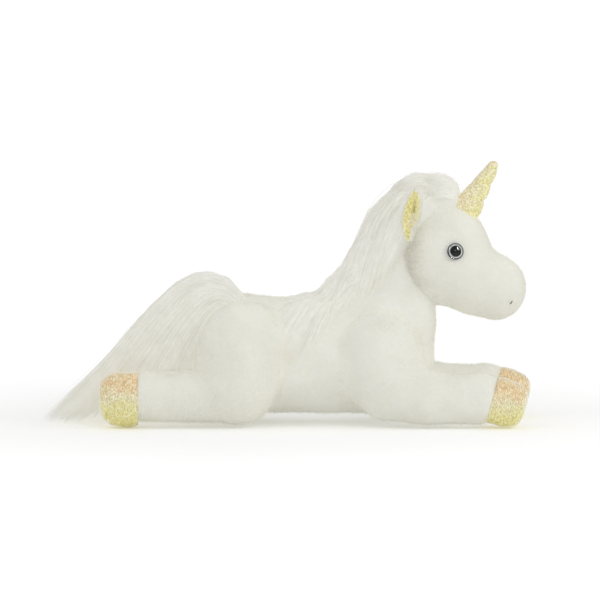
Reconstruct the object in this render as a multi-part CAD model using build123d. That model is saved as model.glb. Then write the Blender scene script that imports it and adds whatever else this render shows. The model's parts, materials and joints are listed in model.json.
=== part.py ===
"""Plush unicorn lying on its belly, as the separate sewn, stuffed and moulded pieces it is made of.

Frame: millimetres, +X forward (nose), +Y the animal's left, +Z up. The origin is on the floor under the belly.
Soft pouches are plain closed forms. A cover is a pouch form less the same form inset by the cloth's thickness,
and its filling is that form inset a little more.
"""

from build123d import *
import math
import os

# Driving dimensions
CLOTH = 2.0  # plush backing with its short pile pressed flat
FOIL_CLOTH = 0.8  # coated knit of the hooves, the horn and the ear linings
AIR = 0.4  # clearance between neighbouring pieces
EYE_DIAMETER = 12.0
LEG_Y = 38.6  # leg centre line from the middle plane
LEG_R = 19.5
BARREL_HALF_WIDTH = 18.2  # torso between the legs
BELLY_HALF_WIDTH = 42.0  # torso between haunch and shoulder
LEFT, RIGHT = 1, -1
SIDE_NAMES = {LEFT: "left", RIGHT: "right"}

# Torso
RUMP, RUMP_R = Vector(-20, 0, 46), 47.5
CHEST, CHEST_R = Vector(60, 0, 43), 45.0
BELLY_REAR_X, BELLY_FRONT_X, BELLY_TOP, BELLY_ROUND = 3.0, 50.0, 88.0, 19.0
PELLET_CENTRE, PELLET_SIZE, PELLET_ROUND = Vector(26, 0, 20), (34, 54, 26), 9.0

# Neck and head: two balls, so that each can turn inside the rim of the piece below it
NECK, NECK_R = Vector(72, 0, 75), 32.0
HEAD, HEAD_R = Vector(111, 0, 118), 32.0
CROWN, CROWN_R = Vector(110, 0, 132), 29.0
MUZZLE, MUZZLE_R = Vector(150, 0, 94), 20.0
NECK_TOP_R = 28.0
NECK_AXIS = (HEAD - NECK).normalized()
NECK_RIM_DEPTH = 27.5  # below the head ball's centre, along the neck, clear of the jaw as the head turns
NOD_LIMITS = (-8.0, 12.0)  # degrees about +Y, head up and head down
MANE_HALF_WIDTH = 16.0
POLL_HALF_WIDTH = 11.0

# Horn
HORN_BASE, HORN_AXIS = Vector(127, 0, 151), Vector(0.53, 0, 0.85).normalized()
HORN_R, HORN_TIP_R, HORN_LENGTH, HORN_TURNS = 10.4, 3.0, 38.0, 4
THREAD_R = 0.35

# Ears, given for the left side
EAR_BASE, EAR_AXIS = Vector(86, 25, 136), Vector(0.12, 0.26, 0.96).normalized()
EAR_LENGTH, EAR_R, EAR_OPEN_DEG = 37.0, 9.0, 190.0
EAR_FACES = Vector(0.80, 0.60, 0)  # where the open side looks, before it is squared to the axis

# Legs
SHOULDER, SHOULDER_R = Vector(76, LEG_Y, 36), 20.0
ELBOW = Vector(94, LEG_Y, LEG_R + 0.3)
WRIST = Vector(146, LEG_Y, LEG_R + 0.7)
FORE_HOOF_AXIS = Vector(0.985, 0, -0.17).normalized()
HAUNCH_CENTRE, HAUNCH_LENGTH, HAUNCH_HEIGHT, HAUNCH_ROUND = Vector(-37, 0, 46), 60.0, 92.0, 13.0
HAUNCH_INNER, HAUNCH_OUTER = BARREL_HALF_WIDTH + AIR, 56.0
HOCK = Vector(-56, LEG_Y, LEG_R + 3.0)
PASTERN = Vector(-111, LEG_Y, LEG_R + 3.0)
HIND_HOOF_AXIS = Vector(-1, 0, 0)
HOOF_LENGTH, HOOF_R, TOE_R, TOE_ROUND, SOLE_R = 25.0, 18.2, 17.0, 6.0, 10.5
SEAM_GAP = 0.2  # between two cloth edges that one seam joins

# Tail
TAIL_HALF_WIDTH = 17.0
DOCK_ROOT, DOCK_ROOT_R = Vector(-48, 0, 95), 5.0
DOCK_TIP, DOCK_TIP_R = Vector(-67, 0, 94), 4.0
TAIL_TIP_X = -174.0


# Shared forms
def mirrored(point, side):
    """A left-side point carried to the given side."""
    return Vector(point.X, side * point.Y, point.Z)


def ball(centre, radius):
    return Pos(*centre) * Sphere(radius)


def rod(start, direction, radius, length):
    """A cylinder from start along direction."""
    plane = Plane(origin=start, z_dir=direction)
    return plane * Cylinder(radius, length, align=(Align.CENTER, Align.CENTER, Align.MIN))


def pod(start, start_r, end, end_r):
    """Two balls and the cone that touches both, as one turned form."""
    span = end - start
    length = span.length
    lean = math.asin((start_r - end_r) / length)

    def on_ball(height, radius, latitude):
        return radius * math.cos(latitude), height + radius * math.sin(latitude)

    near, far = on_ball(0, start_r, lean), on_ball(length, end_r, lean)
    bottom, top = (0, -start_r), (0, length + end_r)
    edges = [
        ThreePointArc(bottom, on_ball(0, start_r, (lean - math.pi / 2) / 2), near),
        Line(near, far),
        ThreePointArc(far, on_ball(length, end_r, (lean + math.pi / 2) / 2), top),
        Line(top, bottom),
    ]
    profile = Plane.XZ * make_face(edges)
    return Plane(origin=start, z_dir=span) * revolve(profile, Axis.Z)


def beyond(origin, direction, size=400):
    """The half space past a plane, as a block."""
    block = Box(size, size, size, align=(Align.CENTER, Align.CENTER, Align.MIN))
    return Plane(origin=origin, z_dir=direction) * block


def middle_slab(half_width, size=600):
    return Box(size, 2 * half_width, size)


def padded_plate(outline, half_width, rounding):
    """An outline in the XZ plane, thickened evenly to both sides of it, with soft edges."""
    plate = extrude(Plane.XZ * outline, half_width, both=True)
    return fillet(plate.edges(), rounding)


def cover_and_filling(form, wall=CLOTH):
    """The cloth shell of a pouch and the filling inside it."""
    return form(0) - form(wall), form(wall + AIR)


# Torso
def torso_form(inset):
    barrel = pod(RUMP, RUMP_R - inset, CHEST, CHEST_R - inset) & middle_slab(BARREL_HALF_WIDTH - inset)
    length = BELLY_FRONT_X - BELLY_REAR_X - 2 * inset
    belly = Box(length, 2 * (BELLY_HALF_WIDTH - inset), BELLY_TOP - 2 * inset)
    belly = fillet(belly.edges(), BELLY_ROUND - inset)
    belly = Pos((BELLY_REAR_X + BELLY_FRONT_X) / 2, 0, BELLY_TOP / 2) * belly
    form = barrel + belly
    form -= beyond(Vector(0, 0, inset), Vector(0, 0, -1))
    for nod in (0, *NOD_LIMITS):
        form -= nodded(neck_column(-AIR - inset), nod)
    return form


def pellet_form(inset):
    size = [side - 2 * inset for side in PELLET_SIZE]
    return Pos(*PELLET_CENTRE) * fillet(Box(*size).edges(), PELLET_ROUND - inset)


def closing_stitches(count=7, pitch=5.0, reach=1.6):
    """Ladder stitches across the seam through which the torso was filled, on its left side."""
    y = BELLY_HALF_WIDTH + AIR
    x_mid = (BELLY_REAR_X + BELLY_FRONT_X) / 2
    z_low = BELLY_TOP / 2 - pitch * (count - 1) / 2
    stitches = []
    for i in range(count):
        z = z_low + i * pitch
        stitches.append(pod(Vector(x_mid - reach, y, z), THREAD_R, Vector(x_mid + reach, y, z + 1), THREAD_R))
    return Compound(children=stitches)


def torso_pieces():
    cover, filling = cover_and_filling(torso_form)
    yield "torso_cover", cover
    yield "torso_stuffing", filling - pellet_form(-AIR)
    yield "pellet_pouch", pellet_form(0) - pellet_form(FOIL_CLOTH)
    yield "pellet_fill", pellet_form(FOIL_CLOTH + AIR)
    yield "closing_stitches", closing_stitches()


# Neck and mane
def neck_column(inset):
    return pod(NECK, NECK_R - inset, HEAD, NECK_TOP_R - inset)


def nodded(form, degrees):
    """A form turned about the neck's hinge."""
    return Pos(*NECK) * Rot(0, degrees, 0) * Pos(*-NECK) * form


def neck_form(inset):
    form = neck_column(inset) - ball(HEAD, HEAD_R + AIR + inset)
    return form - beyond(HEAD - NECK_AXIS * (NECK_RIM_DEPTH + inset), NECK_AXIS)


def mane_outline():
    """Hair standing off the back of the neck, seen from the side: the crest curve, then back inside the neck."""
    crest = Spline((26, 101), (42, 121), (49, 137), (57, 144))
    inner = Spline((72, 137), (72, 118), (62, 106), (46, 98))
    return make_face([crest, Line(crest @ 1, inner @ 0), inner, Line(inner @ 1, crest @ 0)])


def mane_strip(inset, length=30.0, width=12.0, thickness=1.5):
    """Backing cloth of the mane, sewn along the back of the neck inside the hair."""
    back = Vector(-NECK_AXIS.Z, 0, NECK_AXIS.X)
    middle = NECK + NECK_AXIS * (length / 2 + 2) + back * (NECK_R + 2 * AIR + thickness / 2)
    strip = Box(length - 2 * inset, width - 2 * inset, thickness - 2 * inset)
    return Plane(origin=middle, x_dir=NECK_AXIS, z_dir=back) * strip


def neck_pieces():
    cover, filling = cover_and_filling(neck_form)
    hair = padded_plate(mane_outline(), MANE_HALF_WIDTH, 4)
    head_sweep = pod(HEAD, HEAD_R + 2 * AIR, CROWN, CROWN_R + 4)
    yield "neck_cover", cover
    yield "neck_stuffing", filling
    yield "mane_strip", mane_strip(0)
    yield "mane_hair", hair - neck_column(-AIR) - mane_strip(-AIR) - head_sweep


# Head
def eye_seat(side):
    """Plane of an eye's seat on the cheek, its normal pointing out of the head."""
    out = Vector(7.4, side * 30.1, 8.0).normalized()
    return Plane(origin=HEAD + out * (HEAD_R - 0.6), z_dir=out)


def on_seat(side, radius, low, high):
    """A disc about an eye's axis between two heights over its seat."""
    disc = Cylinder(radius, high - low, align=(Align.CENTER, Align.CENTER, Align.MIN))
    return eye_seat(side) * Pos(0, 0, low) * disc


def head_form(inset):
    form = pod(HEAD, HEAD_R - inset, MUZZLE, MUZZLE_R - inset) + pod(HEAD, HEAD_R - inset, CROWN, CROWN_R - inset)
    return form - ball(HORN_BASE, HORN_R + AIR + inset)


def nostril(side, half_length=1.7):
    """One satin stitch lying on the muzzle."""
    out = Vector(0.42, side * 0.86, -0.28).normalized()
    along = out.cross(Vector(0.55, side * -0.5, -0.66)).normalized()
    middle = MUZZLE + out * (MUZZLE_R + 2 * AIR)
    return pod(middle - along * half_length, THREAD_R, middle + along * half_length, THREAD_R)


def poll_outline():
    """Hair over the crown behind the forelock, seen from the side."""
    top = Spline((72, 150), (77, 167), (91, 177), (104, 180))
    low = Spline((104, 163), (95, 160), (86, 152), (80, 143))
    return make_face([top, Line(top @ 1, low @ 0), low, Line(low @ 1, top @ 0)])


def forelock_outline():
    """Hair that leans forward from the crown to the horn."""
    top = Spline((104.6, 180), (112, 178.5), (117, 172))
    low = Spline((115, 164.5), (110, 163.5), (104.6, 163.5))
    return make_face([top, Line(top @ 1, low @ 0), low, Line(low @ 1, top @ 0)])


def eye_pieces(side):
    name = SIDE_NAMES[side]
    radius = EYE_DIAMETER / 2
    rim, iris_r, pupil_r, post_r = radius - 0.4, radius - 0.45, radius * 0.62, 2.0
    base = on_seat(side, radius, 0.05, 1.6) - on_seat(side, rim, 1.0, 2.0)
    base += on_seat(side, post_r, -11.0, 0.05)
    iris = on_seat(side, iris_r, 1.05, 1.35) - on_seat(side, pupil_r + 0.05, 0.9, 2.0)
    dome_rise = 2.6
    dome_r = (iris_r**2 + dome_rise**2) / (2 * dome_rise)
    dome = eye_seat(side) * Pos(0, 0, 1.45 + dome_rise - dome_r) * Sphere(dome_r)
    washer = on_seat(side, 6.5, -3.9, -2.4) - on_seat(side, post_r + 0.05, -4.5, -2.0)
    yield f"eye_base_{name}", base
    yield f"eye_iris_{name}", iris
    yield f"eye_pupil_{name}", on_seat(side, pupil_r, 1.05, 1.35)
    yield f"eye_lens_{name}", dome & on_seat(side, iris_r, 1.45, 5.0)
    yield f"eye_washer_{name}", washer


def head_pieces():
    cover, filling = cover_and_filling(head_form)
    for side in (LEFT, RIGHT):
        cover -= on_seat(side, EYE_DIAMETER / 2 + 0.3, 0, 4)
        cover -= on_seat(side, 2.1, -4, 1)
        filling -= on_seat(side, 2.4, -12, 0)
        filling -= on_seat(side, 6.9, -4.3, 0)
        yield from eye_pieces(side)
        yield f"nostril_stitch_{SIDE_NAMES[side]}", nostril(side)
    clear = ball(CROWN, CROWN_R + AIR)
    yield "head_cover", cover
    yield "head_stuffing", filling
    yield "poll_hair", padded_plate(poll_outline(), POLL_HALF_WIDTH, 3) - clear
    yield "forelock_hair", padded_plate(forelock_outline(), POLL_HALF_WIDTH, 3) - clear


# Ears
def ear_cup(side, radius, half_length, wall):
    """Part of a pointed turned shell about the ear's own axis, open towards the front and outside."""
    tip, base = (0, half_length), (0, -half_length)
    outer = ThreePointArc(base, (radius, 0), tip)
    inner = ThreePointArc((0, -half_length + 2 * wall), (radius - wall, 0), (0, half_length - 2 * wall))
    ends = [Line(base, inner @ 0), Line(tip, inner @ 1)]
    shell = revolve(Plane.XZ * make_face([outer, inner, *ends]), Axis.Z, EAR_OPEN_DEG)
    axis = mirrored(EAR_AXIS, side)
    opening = mirrored(EAR_FACES, side)
    back = (opening - axis * opening.dot(axis)).normalized() * -1
    centre = mirrored(EAR_BASE, side) + axis * (EAR_LENGTH / 2)
    return Plane(origin=centre, x_dir=back, z_dir=axis) * Rot(0, 0, -EAR_OPEN_DEG / 2) * shell


def ear_pieces(side):
    name = SIDE_NAMES[side]
    half = EAR_LENGTH / 2
    yield f"ear_shell_{name}", ear_cup(side, EAR_R, half, CLOTH)
    yield f"ear_lining_{name}", ear_cup(side, EAR_R - CLOTH - 0.3, half - 3 * CLOTH, FOIL_CLOTH)


# Horn
def horn_form(inset):
    """A round foot that rocks in the crown's dimple, under a cone with a blunt tip."""
    return pod(HORN_BASE, HORN_R - inset, HORN_BASE + HORN_AXIS * HORN_LENGTH, HORN_TIP_R - inset)


def horn_thread(start=3.0, end=35.0):
    """Binding thread: a helix on the cone."""
    lean = math.asin((HORN_R - HORN_TIP_R) / HORN_LENGTH)
    on_cone = (HORN_R + THREAD_R + AIR / 2) / math.cos(lean) - start * math.tan(lean)
    path = Helix((end - start) / HORN_TURNS, end - start, on_cone, cone_angle=-math.degrees(lean))
    section = Plane(origin=path @ 0, z_dir=path % 0) * Circle(THREAD_R)
    return Plane(origin=HORN_BASE + HORN_AXIS * start, z_dir=HORN_AXIS) * sweep(section, path)


def horn_pieces():
    cover, filling = cover_and_filling(horn_form, FOIL_CLOTH)
    yield "horn_cover", cover
    yield "horn_stuffing", filling
    yield "horn_thread", horn_thread()


# Hooves, shared by all four legs
def hoof_form(seam, axis, inset):
    """A turned cap about the leg's end: seam plane, slightly tapering wall, rounded toe and flat sole."""
    root_r, toe_r, length = HOOF_R - inset, TOE_R - inset, HOOF_LENGTH - inset
    round_r = TOE_ROUND - inset
    corner = (toe_r - round_r * (1 - math.sqrt(0.5)), length - round_r * (1 - math.sqrt(0.5)))
    wall = Line((root_r, 0), (toe_r, length - round_r))
    toe = ThreePointArc(wall @ 1, corner, (toe_r - round_r, length))
    edges = [Line((0, 0), (root_r, 0)), wall, toe, Line(toe @ 1, (0, length)), Line((0, length), (0, 0))]
    return Plane(origin=seam, z_dir=axis) * revolve(Plane.XZ * make_face(edges), Axis.Z)


def hoof_pieces(prefix, name, seam, axis):
    """The foil cap, its sole disc and the pellets that weight it."""
    start = seam + axis * SEAM_GAP
    sole = rod(start + axis * (HOOF_LENGTH - FOIL_CLOTH), axis, SOLE_R, FOIL_CLOTH)
    opening = rod(start + axis * (HOOF_LENGTH - 2 * FOIL_CLOTH), axis, SOLE_R + 0.1, 4 * FOIL_CLOTH)
    yield f"{prefix}_hoof_cap_{name}", hoof_form(start, axis, 0) - hoof_form(start, axis, FOIL_CLOTH) - opening
    yield f"{prefix}_hoof_sole_{name}", sole
    yield f"{prefix}_hoof_pellets_{name}", hoof_form(start + axis * AIR, axis, FOIL_CLOTH + 2 * AIR)


# Forelegs
def foreleg_form(side, inset):
    shoulder, elbow, wrist = (mirrored(point, side) for point in (SHOULDER, ELBOW, WRIST))
    upper = pod(shoulder, SHOULDER_R - inset, elbow, LEG_R - inset)
    return upper + pod(elbow, LEG_R - inset, wrist, LEG_R - inset)


def foreleg_pieces(side):
    name = SIDE_NAMES[side]
    seam = mirrored(WRIST, side)
    past_seam = beyond(seam, FORE_HOOF_AXIS)
    yield f"foreleg_cover_{name}", foreleg_form(side, 0) - foreleg_form(side, CLOTH) - past_seam
    yield f"foreleg_stuffing_{name}", foreleg_form(side, CLOTH + AIR) - past_seam
    yield from hoof_pieces("fore", name, seam, FORE_HOOF_AXIS)


# Hind legs
def hindleg_form(side, inset):
    """The broad haunch, lying flat against the torso, and the shank stretched out behind it."""
    thickness = HAUNCH_OUTER - HAUNCH_INNER
    middle = Vector(HAUNCH_CENTRE.X, side * (HAUNCH_OUTER + HAUNCH_INNER) / 2, HAUNCH_CENTRE.Z)
    width = HAUNCH_LENGTH - 2 * inset
    outline = Rot(0, 0, 90) * SlotOverall(HAUNCH_HEIGHT - 2 * inset, width)
    haunch = Pos(*middle) * padded_plate(outline, thickness / 2 - inset, HAUNCH_ROUND - inset)
    shank = pod(mirrored(HOCK, side), LEG_R - inset, mirrored(PASTERN, side), LEG_R - inset)
    return haunch + shank


def hindleg_pieces(side):
    name = SIDE_NAMES[side]
    seam = mirrored(PASTERN, side)
    past_seam = beyond(seam, HIND_HOOF_AXIS)
    yield f"hindleg_cover_{name}", hindleg_form(side, 0) - hindleg_form(side, CLOTH) - past_seam
    yield f"hindleg_stuffing_{name}", hindleg_form(side, CLOTH + AIR) - past_seam
    yield from hoof_pieces("hind", name, seam, HIND_HOOF_AXIS)


# Tail
def tail_outline():
    """Long hair that arches off the rump and falls to the floor behind, seen from the side."""
    top = Spline((-44, 98), (-53, 105), (-64, 107.5), (-80, 101), (-104, 77), (-140, 34), (TAIL_TIP_X, 1.5))
    floor = Line(top @ 1, (-84, 1.5))
    under = Spline(floor @ 1, (-75, 30), (-71, 55), (-62, 75), (-47, 89))
    return make_face([top, floor, under, Line(under @ 1, top @ 0)])


def tail_dock(inset):
    """Stuffed stub sewn to the rump; the hair is sewn around it."""
    return pod(DOCK_ROOT, DOCK_ROOT_R - inset, DOCK_TIP, DOCK_TIP_R - inset)


def tail_pieces():
    hair = extrude(Plane.XZ * tail_outline(), TAIL_HALF_WIDTH, both=True)
    rump_clear = ball(RUMP, RUMP_R + 2 * AIR)
    yield "tail_dock", tail_dock(0)
    yield "tail_hair", hair - tail_dock(-AIR) - rump_clear


def all_pieces():
    yield from torso_pieces()
    yield from neck_pieces()
    yield from head_pieces()
    yield from horn_pieces()
    yield from tail_pieces()
    for side in (LEFT, RIGHT):
        yield from ear_pieces(side)
        yield from foreleg_pieces(side)
        yield from hindleg_pieces(side)


os.makedirs("parts", exist_ok=True)
for node, shape in all_pieces():
    export_step(shape, f"parts/{node}.step")
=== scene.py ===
import json
import math

import bpy
import numpy as np
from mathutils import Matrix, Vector


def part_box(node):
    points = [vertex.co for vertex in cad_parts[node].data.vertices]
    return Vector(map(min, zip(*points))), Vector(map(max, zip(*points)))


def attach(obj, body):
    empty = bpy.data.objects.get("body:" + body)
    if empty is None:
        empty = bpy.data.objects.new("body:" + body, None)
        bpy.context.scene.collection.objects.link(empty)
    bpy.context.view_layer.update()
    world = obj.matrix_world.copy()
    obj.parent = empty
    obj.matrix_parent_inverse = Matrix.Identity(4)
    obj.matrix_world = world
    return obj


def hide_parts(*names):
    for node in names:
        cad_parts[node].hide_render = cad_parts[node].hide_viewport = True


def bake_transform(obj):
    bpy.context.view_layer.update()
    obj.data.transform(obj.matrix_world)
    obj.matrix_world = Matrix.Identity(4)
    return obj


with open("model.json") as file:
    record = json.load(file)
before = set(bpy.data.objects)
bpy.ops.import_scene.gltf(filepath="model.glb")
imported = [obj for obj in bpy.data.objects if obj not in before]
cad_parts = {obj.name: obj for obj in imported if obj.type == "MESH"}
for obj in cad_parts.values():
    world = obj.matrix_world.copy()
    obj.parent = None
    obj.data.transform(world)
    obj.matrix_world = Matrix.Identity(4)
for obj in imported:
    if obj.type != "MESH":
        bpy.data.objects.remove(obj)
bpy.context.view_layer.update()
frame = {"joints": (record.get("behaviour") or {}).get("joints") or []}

MM = 0.001
JOINTS = {joint["name"]: joint for joint in frame["joints"]}
SIDES = (("left", 1), ("right", -1))


# Points of the frame, in millimetres
def vec(*values):
    return np.array(values, float)


def unit(v):
    return v / np.maximum(np.linalg.norm(v, axis=-1, keepdims=True), 1e-9)


def hinge(name):
    return vec(*JOINTS[name]["pos_m"]) / MM


def corners(node):
    low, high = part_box(node)
    return vec(*low) / MM, vec(*high) / MM


def middle(node):
    low, high = corners(node)
    return (low + high) / 2


X, Y, Z = np.eye(3)
NECK, HEAD, HORN = hinge("neck_nod"), hinge("head_turn"), hinge("horn_flex")
NECK_AXIS = unit(vec(*JOINTS["head_turn"]["axis"]))
NECK_BACK = vec(-NECK_AXIS[2], 0, NECK_AXIS[0])
SHOULDER, HIP = hinge("foreleg_left_swing"), hinge("hindleg_left_swing")
EAR, TAIL = hinge("ear_left_fold"), hinge("tail_lift")
TORSO_LOW, TORSO_HIGH = corners("torso_cover")
HEAD_LOW, HEAD_HIGH = corners("head_cover")
FORE_HOOF, HIND_HOOF = middle("fore_hoof_cap_left"), middle("hind_hoof_cap_left")
FORE_AXIS, HIND_AXIS = unit(vec(0.955, 0, -0.30)), -X
HOOF_LENGTH = 25.0
FORE_SEAM = vec(FORE_HOOF[0] - 11.5, FORE_HOOF[1], 20.0)
FORE_REACH = {"left": 4.5, "right": 0.0}
HIND_SEAM = HIND_HOOF - HIND_AXIS * HOOF_LENGTH / 2
RUMP = vec(TORSO_LOW[0] + 47.5, 0, TORSO_HIGH[2] - 47.5)
CHEST = vec(TORSO_HIGH[0] - 45, 0, RUMP[2] - 3)
CROWN = HEAD + vec(-1, 0, 14)
MUZZLE = vec(HEAD_HIGH[0] - 20, 0, HEAD_LOW[2] + 20)
EYE = middle("eye_lens_left")
EYE_AXIS = unit(EYE - HEAD)
TAIL_END = corners("tail_hair")[0][0]


# Distance fields: negative inside
def ball(p, centre, radius):
    return np.linalg.norm(p - centre, axis=-1) - radius


def cone(p, start, end, start_r, end_r):
    span = end - start
    t = np.clip((p - start) @ span / (span @ span), 0, 1)
    return np.linalg.norm(p - start - t[:, None] * span, axis=-1) - start_r - (end_r - start_r) * t


def chain(p, stops, blend):
    """Cones through (point, radius) stops."""
    field = None
    for (a, ra), (b, rb) in zip(stops, stops[1:]):
        part = cone(p, a, b, ra, rb)
        field = part if field is None else join(field, part, blend)
    return field


def ellipsoid(p, centre, radii):
    q = p - centre
    far = np.linalg.norm(q / radii, axis=-1)
    slope = np.linalg.norm(q / radii**2, axis=-1)
    return far * (far - 1) / np.maximum(slope, 1e-6)


def join(a, b, blend):
    """Smooth union."""
    h = np.clip(0.5 + 0.5 * (b - a) / blend, 0, 1)
    return b * (1 - h) + a * h - blend * h * (1 - h)


def keep(a, b, blend):
    """What lies inside both fields."""
    return -join(-a, -b, blend)


def gradient(field, p, step=0.4):
    slopes = [field(p + step * axis) - field(p - step * axis) for axis in (X, Y, Z)]
    return unit(np.stack(slopes, -1))


def ripple(p, period, seed, waves=7):
    """Smooth random relief between about -1 and 1."""
    rng = np.random.default_rng(seed)
    directions = unit(rng.normal(size=(waves, 3)))
    phases = rng.uniform(0, math.tau, waves)
    periods = period * rng.uniform(0.7, 1.4, waves)
    total = sum(np.sin(p @ d * math.tau / w + f) for d, w, f in zip(directions, periods, phases))
    return total / math.sqrt(waves)


# Meshes
def net(field, low, high, step):
    """Surface nets: points and outward quads of a field's zero surface."""
    axes = [np.arange(a, b + step, step) for a, b in zip(low, high)]
    grid = np.stack(np.meshgrid(*axes, indexing="ij"), -1)
    d = field(grid.reshape(-1, 3)).reshape(grid.shape[:3])
    n = np.array(d.shape) - 1
    total, crossings = np.zeros((*n, 3)), np.zeros(tuple(n))

    def window(offset):
        return d[tuple(slice(o, o + m) for o, m in zip(offset, n))]

    for axis in range(3):
        u, v = [k for k in range(3) if k != axis]
        for i in (0, 1):
            for j in (0, 1):
                start = np.zeros(3, int)
                start[u], start[v] = i, j
                end = start.copy()
                end[axis] = 1
                d0, d1 = window(start), window(end)
                crossed = (d0 < 0) != (d1 < 0)
                t = np.where(crossed, d0 / np.where(crossed, d0 - d1, 1), 0)
                place = np.broadcast_to(start.astype(float), (*n, 3)).copy()
                place[..., axis] = t
                total += place * crossed[..., None]
                crossings += crossed
    used = crossings > 0
    index = np.full(tuple(n), -1)
    index[used] = np.arange(used.sum())
    cell = np.argwhere(used)
    points = np.array(low) + step * (cell + total[used] / crossings[used][:, None])
    quads = []
    for axis in range(3):
        u, v = [k for k in range(3) if k != axis]
        inner = [slice(1, m) for m in n]
        inner[axis] = slice(0, n[axis])
        ahead = list(inner)
        ahead[axis] = slice(1, n[axis] + 1)
        a, b = d[tuple(inner)] < 0, d[tuple(ahead)] < 0
        spots = np.argwhere(a != b)
        spots[:, u] += 1
        spots[:, v] += 1
        inside = a[a != b]
        ring = []
        for du, dv in ((0, 0), (1, 0), (1, 1), (0, 1)):
            c = spots.copy()
            c[:, u] -= du
            c[:, v] -= dv
            ring.append(index[tuple(c.T)])
        ring = np.stack(ring, -1)
        flip = inside if axis == 1 else ~inside
        ring[flip] = ring[flip][:, ::-1]
        quads.append(ring)
    return points, np.concatenate(quads)


def smooth_net(field, low, high, step, settle=3):
    """Surface nets with their points evened out along the surface."""
    points, quads = net(field, low, high, step)
    edges = np.concatenate([quads[:, [i, (i + 1) % 4]] for i in range(4)])
    for _ in range(settle):
        total, count = np.zeros_like(points), np.zeros(len(points))
        for a, b in ((0, 1), (1, 0)):
            np.add.at(total, edges[:, a], points[edges[:, b]])
            np.add.at(count, edges[:, a], 1)
        points = 0.5 * points + 0.5 * total / np.maximum(count, 1)[:, None]
        points = points - gradient(field, points) * field(points)[:, None]
    return points, quads


def make(name, points, faces, material=None, smooth=True):
    """A mesh object from millimetre points and arrays of equal-sided faces."""
    faces = [np.asarray(f, np.int32) for f in (faces if isinstance(faces, list) else [faces])]
    mesh = bpy.data.meshes.new(name)
    mesh.vertices.add(len(points))
    mesh.vertices.foreach_set("co", (np.asarray(points) * MM).astype(np.float32).ravel())
    sizes = np.concatenate([np.full(len(f), f.shape[1]) for f in faces])
    mesh.loops.add(int(sizes.sum()))
    mesh.loops.foreach_set("vertex_index", np.concatenate([f.ravel() for f in faces]))
    mesh.polygons.add(len(sizes))
    mesh.polygons.foreach_set("loop_start", np.concatenate([[0], np.cumsum(sizes)[:-1]]).astype(np.int32))
    mesh.polygons.foreach_set("use_smooth", np.full(len(sizes), smooth))
    mesh.update(calc_edges=True)
    if material:
        mesh.materials.append(material)
    obj = bpy.data.objects.new(name, mesh)
    bpy.context.scene.collection.objects.link(obj)
    return obj


def mesh_arrays(mesh):
    """Points in millimetres and the quads of an all-quad mesh."""
    points = np.empty(len(mesh.vertices) * 3, np.float32)
    mesh.vertices.foreach_get("co", points)
    corners_of = np.empty(len(mesh.loops), np.int32)
    mesh.loops.foreach_get("vertex_index", corners_of)
    return points.reshape(-1, 3).astype(float) / MM, corners_of.reshape(-1, 4)


def evaluated(obj):
    graph = bpy.context.evaluated_depsgraph_get()
    return mesh_arrays(obj.evaluated_get(graph).data)


def drop(obj):
    mesh = obj.data
    bpy.data.objects.remove(obj)
    bpy.data.meshes.remove(mesh)


def puff(points, quads, pinned, cap, pressure=4.0, frames=20):
    """Blows a closed skin up as cloth, its seams held, each point moved by at most cap."""
    obj = make("puffing", points, quads)
    group = obj.vertex_groups.new(name="seam")
    group.add([int(i) for i in np.flatnonzero(pinned)], 1.0, "REPLACE")
    cloth = obj.modifiers.new("cloth", "CLOTH")
    cloth.settings.vertex_group_mass = "seam"
    cloth.settings.use_pressure = True
    cloth.settings.uniform_pressure_force = pressure
    cloth.settings.effector_weights.gravity = 0
    cloth.collision_settings.use_collision = False
    cloth.collision_settings.use_self_collision = False
    for number in range(1, frames + 1):
        bpy.context.scene.frame_set(number)
    moved = evaluated(obj)[0] - points
    drop(obj)
    bpy.context.scene.frame_set(1)
    length = np.linalg.norm(moved, axis=1, keepdims=True)
    return points + moved / np.maximum(length, 1e-6) * cap * np.tanh(length / cap)


def refine(points, quads, levels):
    obj = make("refining", points, quads)
    modifier = obj.modifiers.new("subdivide", "SUBSURF")
    modifier.levels = modifier.render_levels = levels
    result = evaluated(obj)
    drop(obj)
    return result


def point_normals(points, quads):
    across = np.cross(points[quads[:, 2]] - points[quads[:, 0]], points[quads[:, 3]] - points[quads[:, 1]])
    normals = np.zeros_like(points)
    for i in range(4):
        np.add.at(normals, quads[:, i], across)
    return unit(normals)


def soft_skin(field, low, high, seams, step=4.0, cap=3.0, levels=2):
    """Field to puffed and refined skin. seams(points) gives each point's distance to the nearest seam. The
    skin starts a little inside the field, because the puffing brings it out again."""
    slack = 0.6 * cap
    points, quads = smooth_net(lambda p: field(p) + slack, low, high, step)
    points = puff(points, quads, seams(points) < 0.8 * step, cap)
    return refine(points, quads, levels)


def mirrored(points, faces):
    faces = [f[:, ::-1] for f in faces] if isinstance(faces, list) else faces[:, ::-1]
    return points * vec(1, -1, 1), faces


# Pile and hair
def scatter(points, quads, count, rng, weight):
    corner = [points[quads[:, i]] for i in range(4)]
    area = np.linalg.norm(np.cross(corner[2] - corner[0], corner[3] - corner[1]), axis=1)
    chance = area * weight(sum(corner) / 4)
    pick = rng.choice(len(quads), count, p=chance / chance.sum())
    u, v = rng.random((2, count, 1))
    normals = point_normals(points, quads)

    def inside(values):
        a, b, c, d = (values[quads[pick, i]] for i in range(4))
        return (a * (1 - u) + b * u) * (1 - v) + (d * (1 - u) + c * u) * v

    return inside(points), unit(inside(normals))


def set_attribute(obj, name, values):
    """Stores one value for each point."""
    layer = obj.data.attributes.new(name, "FLOAT", "POINT")
    layer.data.foreach_set("value", values.astype(np.float32))


def everywhere(p):
    return np.ones(len(p))


def nowhere(p):
    return np.zeros(len(p))


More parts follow.
